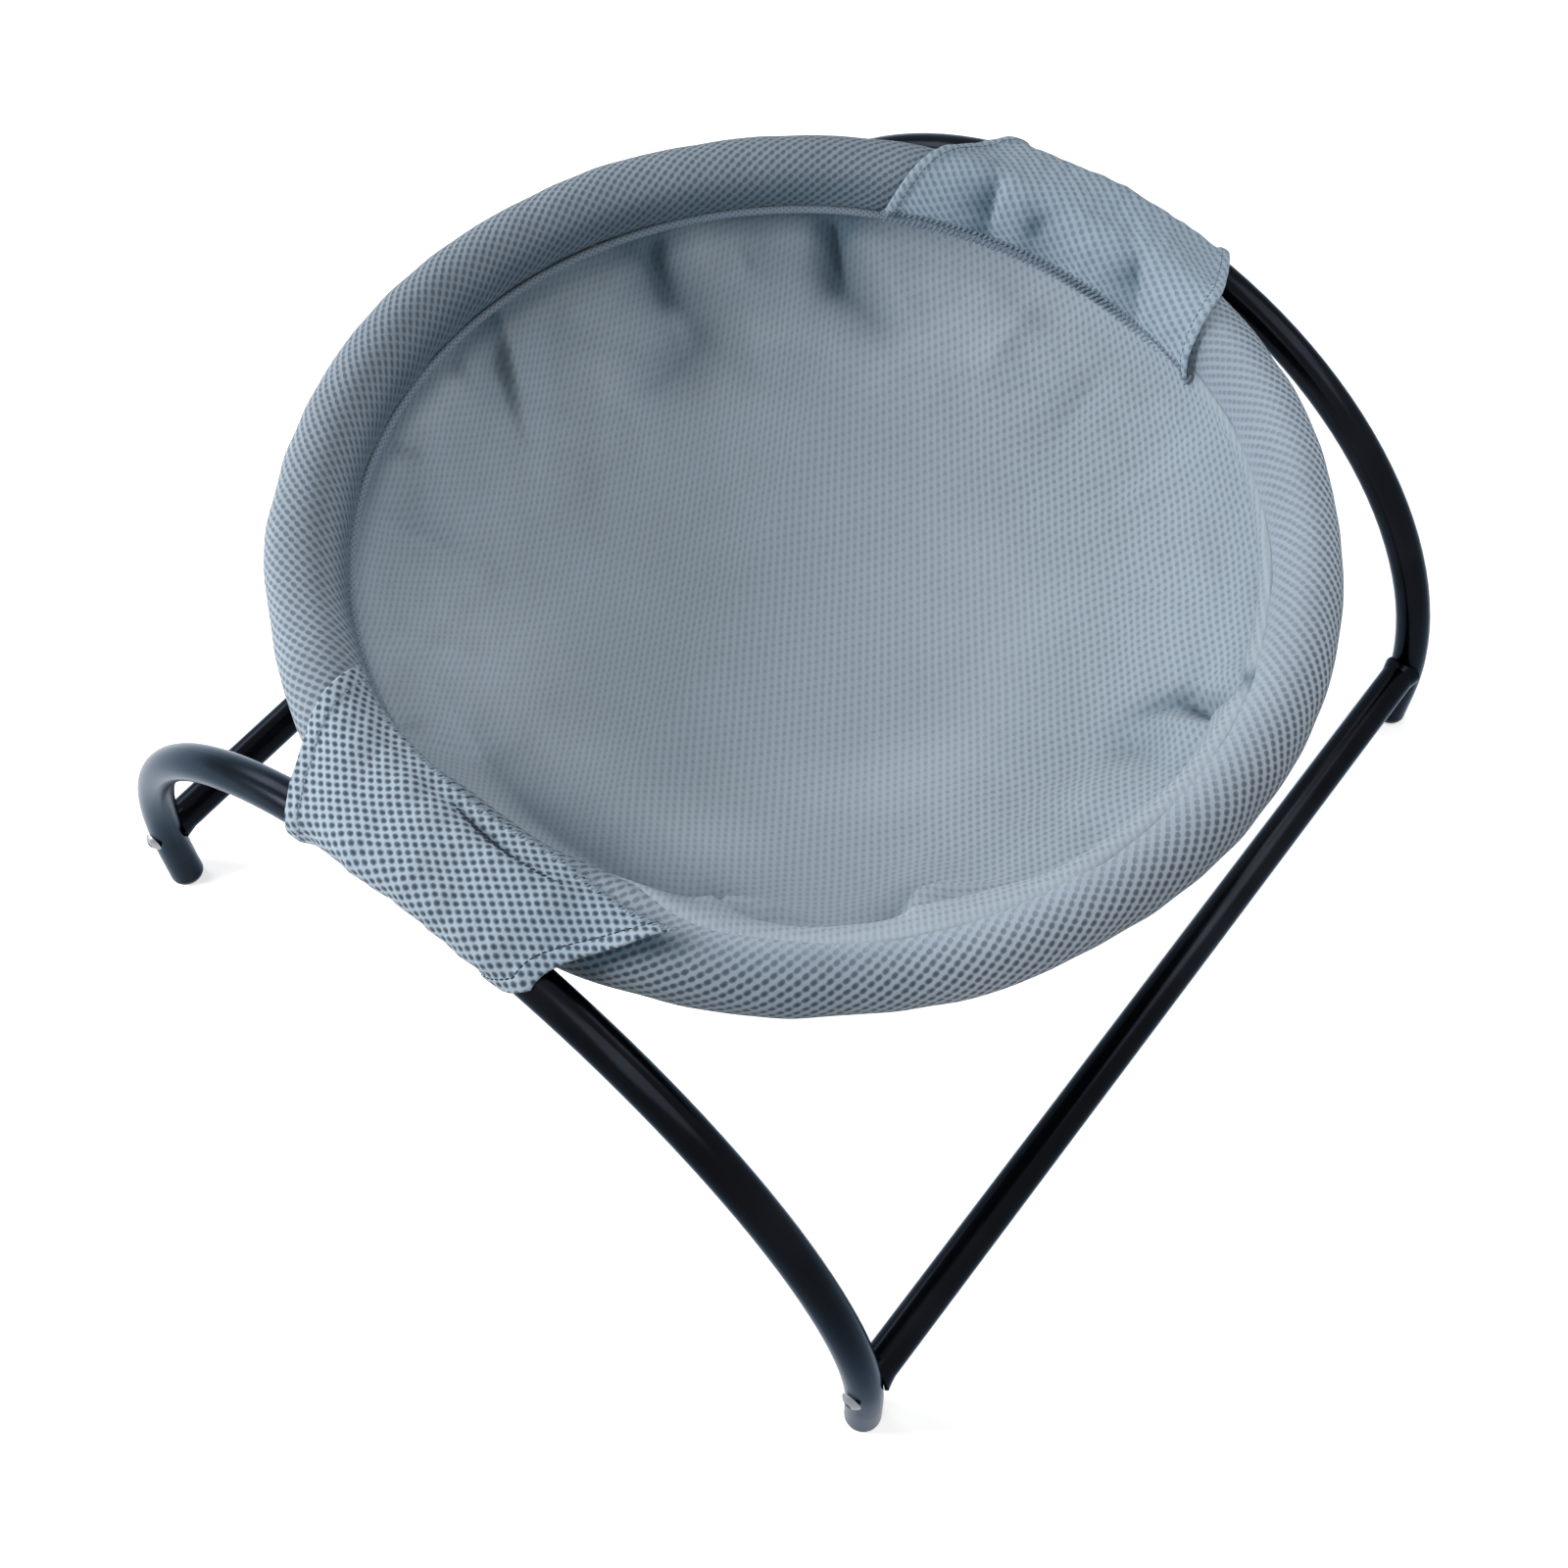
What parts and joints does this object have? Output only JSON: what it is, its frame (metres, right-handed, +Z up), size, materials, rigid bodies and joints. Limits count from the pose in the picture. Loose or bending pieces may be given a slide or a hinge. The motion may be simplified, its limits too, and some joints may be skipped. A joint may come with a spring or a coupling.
{
  "type": "elevated round pet hammock bed",
  "caption": "Round mesh pet hammock with a padded rim, slung by two sleeve pockets between bent tube arches joined by straight rails.",
  "frame": {"origin": "on the floor, midway between the two arches and midway between the two rails", "axes": "+X from the front arch to the rear arch along the rails, +Y from the near rail to the far rail, +Z up"},
  "size_m": [0.4679, 0.4396, 0.2427],
  "materials": {
    "tube_paint": "black satin-gloss powder paint",
    "zinc": "bright zinc plate",
    "plug_plastic": "fine satin moulding",
    "foam": "closed-cell foam skin",
    "air_mesh": "coarse three-dimensional air mesh with staggered holes",
    "seat_mesh": "fine knitted mesh",
    "thread": "twisted polyester thread"
  },
  "bodies": {
    "root": {"front_arch": "tube_paint", "rear_arch": "tube_paint", "near_rail": "tube_paint", "far_rail": "tube_paint", "rail_inserts": "zinc", "frame_bolts": "zinc", "foot_plugs": "plug_plastic", "rim_hoop": "zinc", "hoop_ferrule": "zinc", "foam_roll": "foam", "rim_cover": "air_mesh", "seat_panel": "seat_mesh", "seat_piping": "seat_mesh", "front_pocket": "air_mesh", "rear_pocket": "air_mesh", "front_pocket_seams": "thread", "rear_pocket_seams": "thread"}
  },
  "joints": []
}
